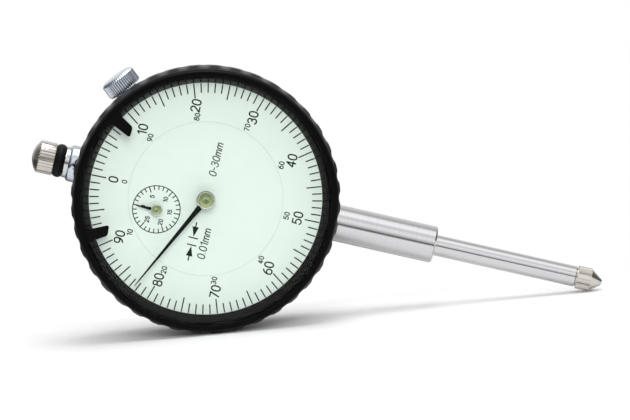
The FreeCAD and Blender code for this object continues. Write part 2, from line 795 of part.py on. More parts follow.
def hairspring_stud():
    radius = 0.5
    x = take_up_arbor[0] + hairspring_end() + hairspring_strip + radius
    return disc(radius, (hairspring_layer[0] - 0.1, rear_plate[0]), (x, take_up_arbor[1]))


# ---- pointers -----------------------------------------------------------------------------
def blade(place, degrees, outline, front, back, bore):
    """Flat pointer drawn upwards from its centre, then turned to its reading."""
    x, z = place
    right = [Vector(x + half, front, z + radius) for radius, half in outline]
    left = [Vector(x - half, front, z + radius) for radius, half in reversed(outline)]
    arm = face_of(right + left).extrude(Vector(0, back - front, 0))
    eye = disc(outline[0][1] * 1.6, (front, back), place)
    shape = arm.fuse(eye).removeSplitter().cut(disc(bore, (front - 1, back + 1), place))
    shape.rotate(Vector(x, 0, z), Vector(0, 1, 0), degrees)
    return shape


def main_pointer():
    outline = [(0.0, 1.1), (2.2, 0.62), (5.0, 0.48), (pointer_length - 1.5, 0.13), (pointer_length, 0.05)]
    degrees = 3.6 * pointer_reading - 360
    return blade(centre, degrees, outline, pointer_front, pointer_back, 0.9)


def pointer_hub():
    front = -12.8
    return turned_about_dial([
        (0.25, front), (1.6, front), (2.06, front + 0.35), (2.06, pointer_front),
        (0.9, pointer_front), (0.9, -10.7), (journal_radius, -10.7),
        (journal_radius, pointer_front + 0.4), (0.25, pointer_front + 0.4)])


def counter_pointer():
    outline = [(0.0, 0.5), (1.4, 0.34), (4.0, 0.13), (4.6, 0.05)]
    return blade(counter_arbor, 0, outline, counter_pointer_front, counter_pointer_back, 0.65)


def counter_hub():
    front = -11.4
    return turned_about_dial([
        (0.15, front), (1.0, front), (1.3, front + 0.25), (1.3, counter_pointer_front),
        (0.65, counter_pointer_front), (0.65, -10.2), (journal_radius, -10.2),
        (journal_radius, counter_pointer_front - 0.3), (0.15, counter_pointer_front - 0.3)],
        counter_arbor)


# ---- write every node ---------------------------------------------------------------------
save("case_body", case_body())
save("stem", stem())
save("lower_guide_bush", lower_guide_bush())
save("upper_bush", upper_bush())
save("upper_guide_bush", upper_guide_bush())
save("back_gasket", back_gasket())
save("back_cover", back_cover())
save("back_cover_screws", *back_cover_screws())
save("bezel_retaining_ring", bezel_retaining_ring())

save("bezel", bezel())
save("crystal", crystal())
save("crystal_gasket", crystal_gasket())
save("scale_ring", scale_ring())
for marker_name, marker_angle in marker_angles.items():
    save(marker_name, limit_marker(marker_angle))
save("clamp_screw", clamp_screw())
save("clamp_dog", clamp_dog())

save("inner_dial", inner_dial())
save("front_plate", front_plate_body())
save("rear_plate", rear_plate_body())
save("plate_pillars", *plate_pillars())
save("pillar_screws", *pillar_screws())
save("plate_screws", *plate_screws())
save("rack_bridge", rack_bridge())
save("bridge_screws", *bridge_screws())
save("pivot_bushes", *pivot_bushes())
save("counter_bush", counter_bush())

save("spindle", spindle())
save("guide_pin", guide_pin())
save("contact_point", contact_point())
save("contact_ball", contact_ball())
save("spindle_cap", spindle_cap())
save("bumper_o_ring", bumper_o_ring())
save("guide_rail", guide_rail())
save("guide_rail_screws", *guide_rail_screws())
save("spring_anchor_pin", spring_anchor_pin())
save("return_spring", return_spring())

save("rack_pinion_arbor", rack_pinion_arbor())
save("rack_gear", bored_wheel(to_centre, rack_arbor, rack_gear_layer))
save("centre_pinion_arbor", centre_pinion_arbor())
save("take_up_arbor", take_up_shaft())
save("take_up_gear", bored_wheel(take_up_tooth, take_up_arbor, take_up_layer))
save("hairspring_collet", hairspring_collet())
save("hairspring", hairspring())
save("hairspring_stud", hairspring_stud())
save("counter_drive_pinion", counter_drive_pinion())
save("counter_arbor", counter_shaft())
save("counter_gear", counter_gear())

save("main_pointer", main_pointer())
save("pointer_hub", pointer_hub())
save("counter_pointer", counter_pointer())
save("counter_hub", counter_hub())
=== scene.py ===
import json
import math

import bmesh
import bpy
from mathutils import Matrix, Vector


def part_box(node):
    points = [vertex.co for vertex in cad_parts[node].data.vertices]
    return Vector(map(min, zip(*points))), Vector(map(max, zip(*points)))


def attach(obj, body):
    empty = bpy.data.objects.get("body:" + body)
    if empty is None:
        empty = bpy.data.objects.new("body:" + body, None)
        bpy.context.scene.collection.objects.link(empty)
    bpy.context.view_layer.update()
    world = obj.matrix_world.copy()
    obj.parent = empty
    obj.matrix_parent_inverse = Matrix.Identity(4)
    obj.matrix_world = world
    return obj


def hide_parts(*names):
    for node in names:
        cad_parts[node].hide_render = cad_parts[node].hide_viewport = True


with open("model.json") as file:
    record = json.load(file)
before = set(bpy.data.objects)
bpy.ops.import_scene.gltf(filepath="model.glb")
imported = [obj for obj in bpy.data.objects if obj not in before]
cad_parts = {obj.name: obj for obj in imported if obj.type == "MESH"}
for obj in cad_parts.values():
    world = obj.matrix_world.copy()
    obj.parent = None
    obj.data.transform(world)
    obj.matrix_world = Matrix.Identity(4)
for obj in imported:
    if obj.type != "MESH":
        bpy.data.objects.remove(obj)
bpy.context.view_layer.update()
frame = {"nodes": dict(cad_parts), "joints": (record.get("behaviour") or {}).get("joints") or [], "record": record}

# Looks of a dial indicator, in metres, in the part's own frame: the plunger lies along Z and the
# dial faces -Y.  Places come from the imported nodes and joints, sizes of print and trim are here.

MM = 0.001
NODES = frame["nodes"]
JOINTS = {joint["name"]: joint for joint in frame["joints"]}

DIAL = Vector(JOINTS["pointer_turn"]["pos_m"])
DIAL_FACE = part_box("inner_dial")[0].y
COUNTER = Vector(JOINTS["counter_turn"]["pos_m"])
BEZEL_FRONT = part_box("bezel")[0].y
BEZEL_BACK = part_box("bezel")[1].y
BEZEL_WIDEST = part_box("bezel")[1].x
CAP_LOW, CAP_HIGH = (corner.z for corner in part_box("spindle_cap"))
CAP_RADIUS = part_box("spindle_cap")[1].x
CLAMP_AXIS = -Vector(JOINTS["clamp_screw_turn"]["axis"])
CLAMP_PLACE = Vector(JOINTS["clamp_screw_turn"]["pos_m"])

FLUTES = 40
FLUTE_RADIUS = 3.2 * MM
FLUTE_DEPTH = 0.34 * MM
FLUTE_BLEND = 0.14 * MM
KNURL_GROOVE = 3 / 16         # half width of a knurl's groove, as a share of the pitch
SCALE_TURN = -0.8             # degrees by which the bezel stands off its zero

INK_HEIGHT = 0.015 * MM
INK_STEP = 0.002 * MM         # strokes that cross stand at slightly different heights
SCALE_OUTER = 25.2 * MM
LONG_TICK = 22.0 * MM         # inner ends of the graduations, from the dial's centre
SHORT_TICK = 23.1 * MM
TICK_STROKE = 0.27 * MM
DIGITS_AT = 20.4 * MM
DIGIT_HEIGHT = 2.2 * MM
DIGIT_STROKE = 0.31 * MM
REVERSE_AT = 17.95 * MM
REVERSE_HEIGHT = 1.25 * MM
REVERSE_STROKE = 0.21 * MM
COUNTER_RING = 5.16 * MM
COUNTER_DIGITS_AT = 2.95 * MM

SLOPE = math.radians(13.02)   # how far the plunger runs downhill, to the right in the view
ELEVATION = math.radians(7.15)
AZIMUTH = math.radians(-2.15)
CAMERA_DISTANCE = 2.364
SENSOR = 36.0
LENS = 624.06
AIM_RIGHT = 23.69 * MM        # the camera looks at a place to the right of the dial and below it
AIM_DOWN = 2.44 * MM


# ---- meshes -------------------------------------------------------------------------------
def add_piece(name, verts, faces, body, materials, sharp=35.0):
    """A closed mesh that rides on a body and takes its finish from a slot."""
    mesh = bpy.data.meshes.new(name)
    mesh.from_pydata([tuple(v) for v in verts], [], faces)
    work = bmesh.new()
    work.from_mesh(mesh)
    bmesh.ops.remove_doubles(work, verts=work.verts, dist=1e-8)
    bmesh.ops.dissolve_degenerate(work, edges=work.edges, dist=1e-9)
    bmesh.ops.recalc_face_normals(work, faces=work.faces)
    work.to_mesh(mesh)
    work.free()
    mesh.shade_smooth()
    mesh.set_sharp_from_angle(angle=math.radians(sharp))
    piece = bpy.data.objects.new(name, mesh)
    bpy.context.scene.collection.objects.link(piece)
    for material in materials:
        mesh.materials.append(material)
    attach(piece, body)
    return piece


def rounded(corners, steps=4):
    """A closed outline of (radius, height, fillet) corners, with each fillet as an arc."""
    points = []
    for i, (radius, height, fillet) in enumerate(corners):
        here = Vector((radius, height))
        if fillet == 0:
            points.append(here)
            continue
        before = (Vector(corners[i - 1][:2]) - here).normalized()
        after = (Vector(corners[(i + 1) % len(corners)][:2]) - here).normalized()
        half = before.angle(after) / 2
        middle = here + (before + after).normalized() * (fillet / math.sin(half))
        start = here + before * (fillet / math.tan(half)) - middle
        sweep = start.angle_signed(here + after * (fillet / math.tan(half)) - middle)
        for k in range(steps + 1):
            points.append(middle + Matrix.Rotation(-sweep * k / steps, 2) @ start)
    return points


def turned(outline, steps, place, shape):
    """Turn an outline; place puts (radius, turn, height) in space and shape adjusts the radius."""
    verts = []
    for i in range(steps):
        turn = 2 * math.pi * i / steps
        for radius, height in outline:
            verts.append(place(shape(radius, turn), turn, height))
    count = len(outline)
    faces = []
    for i in range(steps):
        for k in range(count):
            ahead = ((i + 1) % steps) * count
            faces.append((i * count + k, i * count + (k + 1) % count, ahead + (k + 1) % count, ahead + k))
    return verts, faces


def about_dial(radius, turn, height):
    return Vector((radius * math.sin(turn), height, DIAL.z + radius * math.cos(turn)))


def about_plunger(radius, turn, height):
    return Vector((radius * math.cos(turn), radius * math.sin(turn), height))


def about_clamp(radius, turn, height):
    """Height is measured from the dial's axis along the clamp screw."""
    side = Vector((0, 1, 0))
    across = side.cross(CLAMP_AXIS)
    base = Vector((0, CLAMP_PLACE.y, DIAL.z))
    return base + CLAMP_AXIS * height + (side * math.sin(turn) + across * math.cos(turn)) * radius


def smaller(a, b, blend):
    """The smaller of two radii, with the corner between them rounded."""
    near = max(blend - abs(a - b), 0) / blend
    return min(a, b) - near * near * blend / 4


def fluted(radius, turn):
    pitch = 2 * math.pi / FLUTES
    off = (turn % pitch) - pitch / 2
    centre = BEZEL_WIDEST - FLUTE_DEPTH + FLUTE_RADIUS
    flute = centre * math.cos(off) - math.sqrt(FLUTE_RADIUS ** 2 - (centre * math.sin(off)) ** 2)
    return smaller(radius, flute, FLUTE_BLEND)


def plain(radius, turn):
    return radius


def knurled(outer, depth, teeth):
    """Straight knurl: broad ridges with a narrow groove between them."""
    def shape(radius, turn):
        off = abs((teeth * turn / (2 * math.pi)) % 1 - 0.5)
        groove = max(0.0, 1 - off / KNURL_GROOVE)
        return min(radius, outer - depth * groove)
    return shape


def fine_knurled(outer, depth, teeth):
    """Fine knurl of rounded ridges that meet in sharp valleys."""
    def shape(radius, turn):
        return min(radius, outer - depth * (1 - abs(math.cos(teeth * turn / 2))))
    return shape


def in_mm(*corners):
    return [(radius * MM, height * MM, fillet * MM) for radius, height, fillet in corners]


# ---- materials ----------------------------------------------------------------------------
def new_material(name):
    material = bpy.data.materials.new(name)
    material.use_nodes = True
    return material, material.node_tree, material.node_tree.nodes["Principled BSDF"]


def noise(tree, size, stretch=(1, 1, 1), detail=3.0):
    """Noise with grains of about the given size, drawn out by stretch."""
    place = tree.nodes.new("ShaderNodeTexCoord")
    mapping = tree.nodes.new("ShaderNodeMapping")
    mapping.inputs["Scale"].default_value = [1 / factor for factor in stretch]
    texture = tree.nodes.new("ShaderNodeTexNoise")
    texture.inputs["Scale"].default_value = 1 / size
    texture.inputs["Detail"].default_value = detail
    tree.links.new(place.outputs["Object"], mapping.inputs["Vector"])
    tree.links.new(mapping.outputs["Vector"], texture.inputs["Vector"])
    return texture.outputs["Fac"]


def spread(tree, value, low, high):
    """Noise mapped to a range, for a roughness."""
    node = tree.nodes.new("ShaderNodeMapRange")
    node.inputs["From Min"].default_value = 0.3
    node.inputs["From Max"].default_value = 0.7
    node.inputs["To Min"].default_value = low
    node.inputs["To Max"].default_value = high
    tree.links.new(value, node.inputs["Value"])
    return node.outputs["Result"]


def shaded(tree, value, dark, light):
    """Noise mapped to a colour between two."""
    ramp = tree.nodes.new("ShaderNodeValToRGB")
    ramp.color_ramp.elements[0].position = 0.3
    ramp.color_ramp.elements[1].position = 0.7
    ramp.color_ramp.elements[0].color = (*dark, 1)
    ramp.color_ramp.elements[1].color = (*light, 1)
    tree.links.new(value, ramp.inputs["Fac"])
    return ramp.outputs["Color"]


def bumped(tree, shader, *layers):
    """Bump layers of (height, depth in metres), one on top of the other."""
    below = None
    for height, depth in layers:
        node = tree.nodes.new("ShaderNodeBump")
        node.inputs["Strength"].default_value = 1.0
        node.inputs["Distance"].default_value = depth
        tree.links.new(height, node.inputs["Height"])
        if below:
            tree.links.new(below, node.inputs["Normal"])
        below = node.outputs["Normal"]
    tree.links.new(below, shader.inputs["Normal"])


def tinted(colour, factor):
    return tuple(min(1.0, part * factor) for part in colour)


def surface(name, colour, roughness, metallic=0.0, variation=0.06, grain=0.4 * MM, stretch=(1, 1, 1),
            bump=1e-6, fine=0.08 * MM, fine_bump=0.5e-6, specular=0.5):
    """A plain finish with varied colour and roughness and two sizes of relief."""
    material, tree, shader = new_material(name)
    broad = noise(tree, grain, stretch)
    small = noise(tree, fine, stretch, detail=2.0)
    colours = shaded(tree, broad, tinted(colour, 1 - variation), tinted(colour, 1 + variation))
    tree.links.new(colours, shader.inputs["Base Color"])
    tree.links.new(spread(tree, small, *roughness), shader.inputs["Roughness"])
    shader.inputs["Metallic"].default_value = metallic
    shader.inputs["Specular IOR Level"].default_value = specular
    bumped(tree, shader, (broad, bump), (small, fine_bump))
    return material


def crystal_material():
    """Clear crystal: straight through, with the reflection of a polished surface on top."""
    material, tree, shader = new_material("clear_crystal_look")
    tree.nodes.remove(shader)
    output = tree.nodes["Material Output"]
    facing = tree.nodes.new("ShaderNodeLayerWeight")
    facing.inputs["Blend"].default_value = 0.5
    steep = tree.nodes.new("ShaderNodeMath")
    steep.operation = "POWER"
    steep.inputs[1].default_value = 5
    share = tree.nodes.new("ShaderNodeMapRange")
    share.inputs["To Min"].default_value = 0.008
    share.inputs["To Max"].default_value = 0.9
    clear = tree.nodes.new("ShaderNodeBsdfTransparent")
    gloss = tree.nodes.new("ShaderNodeBsdfGlossy")
    mix = tree.nodes.new("ShaderNodeMixShader")
    tint = shaded(tree, noise(tree, 9 * MM), (0.990, 0.994, 0.992), (0.996, 0.999, 0.997))
    tree.links.new(tint, clear.inputs["Color"])
    tree.links.new(spread(tree, noise(tree, 2 * MM), 0.02, 0.035), gloss.inputs["Roughness"])
    tree.links.new(facing.outputs["Facing"], steep.inputs[0])
    tree.links.new(steep.outputs["Value"], share.inputs["Value"])
    tree.links.new(share.outputs["Result"], mix.inputs["Fac"])
    tree.links.new(clear.outputs["BSDF"], mix.inputs[1])
    tree.links.new(gloss.outputs["BSDF"], mix.inputs[2])
    tree.links.new(mix.outputs["Shader"], output.inputs["Surface"])
    return material


RINGS = (60, 60, 1)           # stretch of turned and ground marks that run round the plunger
ROUND_DIAL = (60, 1, 60)      # and of those that run round an arbor

LOOKS = {
    "satin_case": surface("satin_case_look", (0.50, 0.51, 0.52), (0.34, 0.46), 1.0, 0.05, bump=4e-6,
                          grain=0.25 * MM, fine_bump=2e-6),
    "polished_steel": surface("polished_steel_look", (0.60, 0.60, 0.61), (0.10, 0.17), 1.0, 0.03,
                              grain=0.30 * MM, stretch=RINGS, bump=0.12e-6, fine=0.06 * MM,
                              fine_bump=0.06e-6),
    "chrome_trim": surface("chrome_trim_look", (0.56, 0.61, 0.68), (0.03, 0.07), 1.0, 0.04, bump=0.2e-6,
                           fine_bump=0.05e-6),
    "warm_nickel": surface("warm_nickel_look", (0.58, 0.55, 0.51), (0.12, 0.20), 1.0, 0.06, bump=0.5e-6,
                           fine_bump=0.2e-6),
    "carbide": surface("carbide_look", (0.50, 0.49, 0.48), (0.10, 0.14), 1.0, 0.04, bump=0.2e-6),
    "bronze": surface("bronze_look", (0.55, 0.36, 0.18), (0.28, 0.42), 1.0, 0.10, grain=0.15 * MM,
                      bump=2e-6),
    "plate_brass": surface("plate_brass_look", (0.68, 0.53, 0.24), (0.24, 0.36), 1.0, 0.05,
                           grain=0.5 * MM, stretch=(20, 20, 1), bump=0.8e-6),
    "gear_brass": surface("gear_brass_look", (0.72, 0.55, 0.24), (0.18, 0.28), 1.0, 0.05,
                          stretch=ROUND_DIAL, bump=0.4e-6),
    # Brass tinted olive green: the green is a painted reflection of the dial, laid over the brass colour.
    "hub_brass": surface("hub_brass_with_painted_dial_reflection_look", (0.42, 0.52, 0.26), (0.22, 0.34), 1.0, 0.10, grain=0.25 * MM,
                         bump=1.5e-6),
    "screw_steel": surface("screw_steel_look", (0.46, 0.46, 0.47), (0.18, 0.30), 1.0, 0.06, bump=0.6e-6),
    "spring_steel": surface("spring_steel_look", (0.38, 0.39, 0.42), (0.16, 0.26), 1.0, 0.06,
                            bump=0.4e-6),
    "rubber": surface("rubber_look", (0.0030, 0.0032, 0.0036), (0.36, 0.50), 0.0, 0.20,
                      grain=0.2 * MM, bump=3e-6, fine_bump=2e-6, specular=0.12),
    "bezel_plastic": surface("bezel_plastic_look", (0.0020, 0.0020, 0.0022), (0.26, 0.38), 0.0, 0.15,
                             grain=0.35 * MM, bump=1.5e-6, fine=0.10 * MM, fine_bump=1.2e-6,
                             specular=0.06),
    "marker_plastic": surface("marker_plastic_look", (0.0030, 0.0026, 0.0026), (0.34, 0.46), 0.0, 0.15,
                              grain=0.3 * MM, bump=2e-6, specular=0.06),
    "clear_crystal": crystal_material(),
    "dial_face": surface("dial_face_look", (0.73, 0.83, 0.76), (0.50, 0.62), 0.0, 0.012,
                         grain=1.6 * MM, bump=1.0e-6, fine=0.12 * MM, fine_bump=0.8e-6, specular=0.3),
    "pointer_black": surface("pointer_black_look", (0.0028, 0.0045, 0.0040), (0.36, 0.50), 0.0, 0.15,
                             grain=0.2 * MM, bump=1e-6, specular=0.05),
}
GLOSSY_WALL = surface("bezel_wall_look", (0.002, 0.002, 0.0025), (0.10, 0.16), 0.0, 0.15, grain=1.5 * MM,
                      bump=0.6e-6, fine_bump=0.1e-6, specular=0.012)
# Darker green than the dial: painted shade for the seam between the fixed dial and the turning scale.
SEAM_SHADE = surface("painted_seam_shade_look", (0.50, 0.66, 0.57), (0.5, 0.6), 0.0, 0.04, grain=0.3 * MM, bump=1e-6,
               specular=0.2)
HUB_RIM = surface("hub_rim_look", (0.70, 0.68, 0.66), (0.10, 0.16), 1.0, 0.05, grain=0.2 * MM,
                  bump=0.3e-6)
INK = surface("scale_ink_look", (0.008, 0.015, 0.012), (0.40, 0.54), 0.0, 0.12, grain=0.12 * MM,
              bump=0.6e-6, specular=0.05)


def dress_nodes():
    """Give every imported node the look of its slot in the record."""
    for subpart in frame["record"]["subparts"]:
        mesh = NODES[subpart["node"]].data
        look = LOOKS[subpart["material_slot"]]
        for i in range(len(mesh.materials)):
            mesh.materials[i] = look
        if not mesh.materials:
            mesh.materials.append(look)


# ---- bezel, caps and screws ---------------------------------------------------------------
def bezel():
    """Moulded bezel with rounded flutes, a lip over the crystal and a glossy sloping inner wall."""
    front = BEZEL_FRONT / MM
    back = BEZEL_BACK / MM
    outline = rounded(in_mm(
        (27.1, front, 0.12), (28.2, front, 0.30), (28.62, front + 0.95, 0.5), (29.2, front + 3.2, 0.6),
        (29.2, front + 4.1, 0.6), (28.95, back - 1.3, 0.5), (28.4, back, 0.3), (26.1, back, 0.15),
        (26.1, -6.95, 0), (26.65, -6.95, 0), (26.65, -7.7, 0), (26.1, -7.7, 0), (26.1, -9.9, 0),
        (25.25, -9.9, 0.04), (26.55, -12.85, 0), (27.1, -12.85, 0), (27.1, -13.9, 0), (27.65, -13.9, 0),
        (27.65, -14.35, 0), (27.1, -14.35, 0)))
    verts, faces = turned(outline, FLUTES * 16, about_dial, fluted)
    piece = add_piece("bezel_moulding", verts, faces, "bezel_assembly",
                      [LOOKS["bezel_plastic"], GLOSSY_WALL])
    for face in piece.data.polygons:
        radius = math.hypot(face.center.x, face.center.z - DIAL.z)
        if radius < 26.6 * MM and -12.84 * MM < face.center.y < -9.91 * MM:
            face.material_index = 1
    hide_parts("bezel")


def clamp_screw():
    """Knurled thumb screw with a domed top and a rounded collar under its head."""
    outline = rounded(in_mm(
        (0, 28.7, 0), (3.55, 28.7, 0.1), (3.9, 29.05, 0.1), (3.9, 31.6, 0.12), (3.35, 32.15, 0.25),
        (2.4, 32.36, 0.6), (0, 32.4, 0)))
    verts, faces = turned(outline, 44 * 8, about_clamp, fine_knurled(3.9 * MM, 0.20 * MM, 44))
    head = add_piece("clamp_screw_head", verts, faces, "clamp_screw_body",
                     [LOOKS["chrome_trim"]])
    shank = rounded(in_mm(
        (0, 22.65, 0), (1.1, 22.65, 0), (1.25, 22.8, 0), (1.25, 27.65, 0), (2.55, 27.65, 0.08),
        (2.65, 27.9, 0.08), (2.65, 28.7, 0), (0, 28.7, 0)))
    verts, faces = turned(shank, 64, about_clamp, plain)
    add_piece("clamp_screw_neck", verts, faces, "clamp_screw_body",
              [LOOKS["chrome_trim"]])
    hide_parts("clamp_screw")


def spindle_cap():
    """Domed cap whose straight knurl ends in a smooth rim."""
    low = CAP_LOW / MM
    high = CAP_HIGH / MM
    radius = CAP_RADIUS / MM
    rim = radius - 0.3
    rise = 1.2
    dome = (rim ** 2 + rise ** 2) / (2 * rise)
    corners = [(0, low, 0), (radius - 0.3, low, 0.08), (radius, low + 0.3, 0.08),
               (radius, high - rise - 0.25, 0.1), (rim, high - rise, 0.06)]
    for step in range(1, 12):
        out = rim * (1 - step / 12)
        corners.append((out, high - dome + math.sqrt(dome ** 2 - out ** 2), 0))
    corners.append((0, high, 0))
    outline = rounded(in_mm(*corners))
    verts, faces = turned(outline, 32 * 16, about_plunger, knurled(CAP_RADIUS, 0.20 * MM, 32))
    piece = add_piece("spindle_cap_knurled", verts, faces, "spindle_assembly",
                      [LOOKS["warm_nickel"]])
    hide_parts("spindle_cap")


def dial_edge():
    """Ring that fills the seam between the fixed dial and the turning scale, a darker green than the dial that
    paints the shade in the gap between the two parts.
    """
    outline = in_mm((16.755, -9.86, 0), (16.845, -9.86, 0), (16.845, -9.5, 0), (16.755, -9.5, 0))
    verts, faces = turned([Vector(corner[:2]) for corner in outline], 180, about_dial, plain)
    add_piece("painted_seam_shade", verts, faces, "case", [SEAM_SHADE])


def hub(node, pointer, joint, body):
    """Turned hub: a bright bevelled rim round a slightly domed brass face with a centre hole; the face's green
    tint is a painted reflection of the dial.
    """
    place = Vector(JOINTS[joint]["pos_m"])
    low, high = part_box(node)
    radius = high.x - place.x
    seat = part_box(pointer)[0].y

    def about(out, turn, height):
        return Vector((place.x + out * math.sin(turn), height, place.z + out * math.cos(turn)))

    outline = rounded([
        (0.13 * radius, high.y, 0), (0.13 * radius, low.y + 0.03 * MM, 0),
        (0.40 * radius, low.y, 0.15 * MM), (0.80 * radius, low.y + 0.08 * MM, 0.1 * MM),
        (0.84 * radius, low.y + 0.02 * MM, 0.02 * MM), (0.90 * radius, low.y + 0.04 * MM, 0.05 * MM),
        (radius, low.y + 0.30 * MM, 0.1 * MM), (radius, seat, 0), (0.44 * radius, seat, 0),
        (0.44 * radius, high.y, 0)])
    verts, faces = turned(outline, 96, about, plain)
    piece = add_piece(node + "_turned", verts, faces, body, [LOOKS["hub_brass"], HUB_RIM])
    for face in piece.data.polygons:
        if math.hypot(face.center.x - place.x, face.center.z - place.z) > 0.80 * radius:
            face.material_index = 1
    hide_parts(node)


# ---- print --------------------------------------------------------------------------------
def strip(sections, height, closed=False):
    """A thin raised strip on the dial through sections of (point, normal, half width)."""
    back = DIAL_FACE
    front = DIAL_FACE - height
    verts = []
    rows = []
    for point, normal, half in sections:
        first = len(verts)
        sides = [point + normal * half, point - normal * half] if half > 0 else [point]
        for side in sides:
            verts += [Vector((side.x, front, side.y)), Vector((side.x, back, side.y))]
        right = first + 2 if half > 0 else first
        rows.append((first, first + 1, right + 1, right))
    faces = []
    pairs = list(zip(rows, rows[1:])) + ([(rows[-1], rows[0])] if closed else [])
    for here, there in pairs:
        for k in range(4):
            corners = (here[k], here[(k + 1) % 4], there[(k + 1) % 4], there[k])
            kept = [v for i, v in enumerate(corners) if v != corners[i - 1]]
            if len(set(kept)) > 2:
                faces.append(tuple(kept))
    if not closed:
        faces += [row for row in (rows[0], rows[-1]) if len(set(row)) == 4]
    return verts, faces


def stroke(points, width, height, closed=False):
    """A stroke of even width with round ends and mitred corners."""
    half = width / 2
    count = len(points)
    sections = []
    for i, point in enumerate(points):
        before = points[i - 1] if closed or i > 0 else None
        after = points[(i + 1) % count] if closed or i < count - 1 else None
        into = (point - before).normalized() if before is not None else None
        out = (after - point).normalized() if after is not None else None
        into = into or out
        out = out or into
        along = (into + out).normalized()
        normal = Vector((-along.y, along.x))
        mitre = min(1 / max(along.dot(out), 0.3), 1.8)
        sections.append((point, normal, half * mitre, along))
    length = [section[:3] for section in sections]
    if closed:
        return strip(length, height, closed=True)
    caps = [(math.cos(turn), math.sin(turn)) for turn in (math.radians(d) for d in (22.5, 45, 67.5))]
    first, last = sections[0], sections[-1]
    start = [(first[0] - first[3] * half, first[1], 0)]
    start += [(first[0] - first[3] * half * out, first[1], half * wide) for wide, out in reversed(caps)]
    end = [(last[0] + last[3] * half * out, last[1], half * wide) for wide, out in caps]
    end.append((last[0] + last[3] * half, last[1], 0))
    return strip(start + length + end, height)


def curve(x, y, wide, high, start, end):
    """Points of an elliptical arc from one angle to another, in degrees."""
    count = max(3, int(abs(end - start) / 18))
    angles = [math.radians(start + (end - start) * i / count) for i in range(count + 1)]
    return [Vector((x + wide * math.cos(a), y + high * math.sin(a))) for a in angles]


def loop(x, y, wide, high):
    """A closed oval with slightly flattened sides."""
    points = []
    for i in range(24):
        turn = 2 * math.pi * i / 24
        c, s = math.cos(turn), math.sin(turn)
        across = wide * math.copysign(abs(c) ** 0.8, c)
        up = high * math.copysign(abs(s) ** 0.9, s)
        points.append(Vector((x + across, y + up)))
    return points


def line(*points):
    return [Vector(point) for point in points]


def arch(x):
    """One arch of the letter m, from its left foot's side."""
    return [Vector((x, 0.45))] + curve(x + 0.19, 0.47, 0.19, 0.21, 150, 0) + [Vector((x + 0.38, 0))]


# Each glyph: its width, then its strokes as (points, closed), in units of its height.
GLYPHS = {
    "0": (0.56, [(loop(0.28, 0.5, 0.28, 0.5), True)]),
    "1": (0.30, [(line((0.25, 1.0), (0.25, 0)), False), (line((0.02, 0.80), (0.24, 1.0)), False)]),
    "2": (0.56, [(curve(0.28, 0.71, 0.27, 0.29, 165, -35) + line((0.02, 0)), False),
                 (line((0.02, 0), (0.56, 0)), False)]),
    "3": (0.56, [(curve(0.26, 0.76, 0.25, 0.24, 155, -90), False),
                 (curve(0.26, 0.27, 0.29, 0.27, 90, -155), False)]),
    "4": (0.58, [(line((0.42, 0), (0.42, 1.0)), False), (line((0.42, 1.0), (0.0, 0.28)), False),
                 (line((0.0, 0.28), (0.58, 0.28)), False)]),
    "5": (0.56, [(line((0.52, 1.0), (0.09, 1.0), (0.04, 0.54)) + curve(0.27, 0.32, 0.29, 0.32, 120, -155),
                  False)]),
    "6": (0.56, [(loop(0.28, 0.31, 0.28, 0.31), True),
                 (curve(0.50, 0.36, 0.50, 0.64, 180, 98), False)]),
    "7": (0.54, [(line((0, 1.0), (0.54, 1.0)), False), (line((0.54, 1.0), (0.17, 0)), False)]),
    "8": (0.56, [(loop(0.28, 0.77, 0.24, 0.23), True), (loop(0.28, 0.27, 0.28, 0.27), True)]),
    "9": (0.56, [(loop(0.28, 0.69, 0.28, 0.31), True),
                 (curve(0.06, 0.64, 0.50, 0.64, 0, -82), False)]),
    ".": (0.05, [(line((0.02, 0), (0.03, 0.01)), False)]),
    "-": (0.34, [(line((0, 0.46), (0.34, 0.46)), False)]),
    "m": (0.76, [(line((0, 0), (0, 0.68)), False), (arch(0), False), (arch(0.38), False)]),
}


def lettering(text, middle, height, width, gap, lean=0.0):
    """Strokes of a line of generic numerals, centred on a place on the dial."""
    size = height - width
    advance = [GLYPHS[sign][0] * size + width + gap for sign in text]
    total = sum(advance) - gap - width
    left = middle.x - total / 2
    meshes = []
    for sign, step in zip(text, advance):
        for i, (points, closed) in enumerate(GLYPHS[sign][1]):
            placed = []
            for point in points:
                up = (point.y - 0.5) * size
                placed.append(Vector((left + point.x * size + lean * up, middle.y + up)))
            meshes.append(stroke(placed, width, INK_HEIGHT + INK_STEP * i, closed))
        left += step
    return meshes


def polar(centre, radius, degrees):
    """Point of the dial's face, as (x, z), clockwise from the top."""
    turn = math.radians(degrees)
    return Vector((centre.x + radius * math.sin(turn), centre.z + radius * math.cos(turn)))


def tick(centre, inner, outer, degrees, width):
    start = polar(centre, inner, degrees)
    end = polar(centre, outer, degrees)
    along = (end - start).normalized()
    normal = Vector((-along.y, along.x))
    return strip([(start, normal, width / 2), (end, normal, width / 2)], INK_HEIGHT)


def add_print(name, body, meshes):
    verts, faces = [], []
    for some_verts, some_faces in meshes:
        base = len(verts)
        verts += some_verts
        faces += [tuple(index + base for index in face) for face in some_faces]
    add_piece(name, verts, faces, body, [INK])


def scale_print():
    """100 graduations with two rows of numerals, which turn with the bezel."""
    ticks = []
    for i in range(100):
        inner = LONG_TICK if i % 5 == 0 else SHORT_TICK
        ticks.append(tick(DIAL, inner, SCALE_OUTER, 3.6 * i + SCALE_TURN, TICK_STROKE))
    add_print("scale_graduations", "bezel_assembly", ticks)
    large, small = [], []
    for i in range(10):
        degrees = 36 * i + SCALE_TURN
        large += lettering(str(10 * i), polar(DIAL, DIGITS_AT, degrees), DIGIT_HEIGHT, DIGIT_STROKE,
                           0.12 * MM)
        small += lettering(str((100 - 10 * i) % 100), polar(DIAL, REVERSE_AT, degrees), REVERSE_HEIGHT,
                           REVERSE_STROKE, 0.09 * MM)
    add_print("scale_numerals", "bezel_assembly", large)
    add_print("reverse_numerals", "bezel_assembly", small)


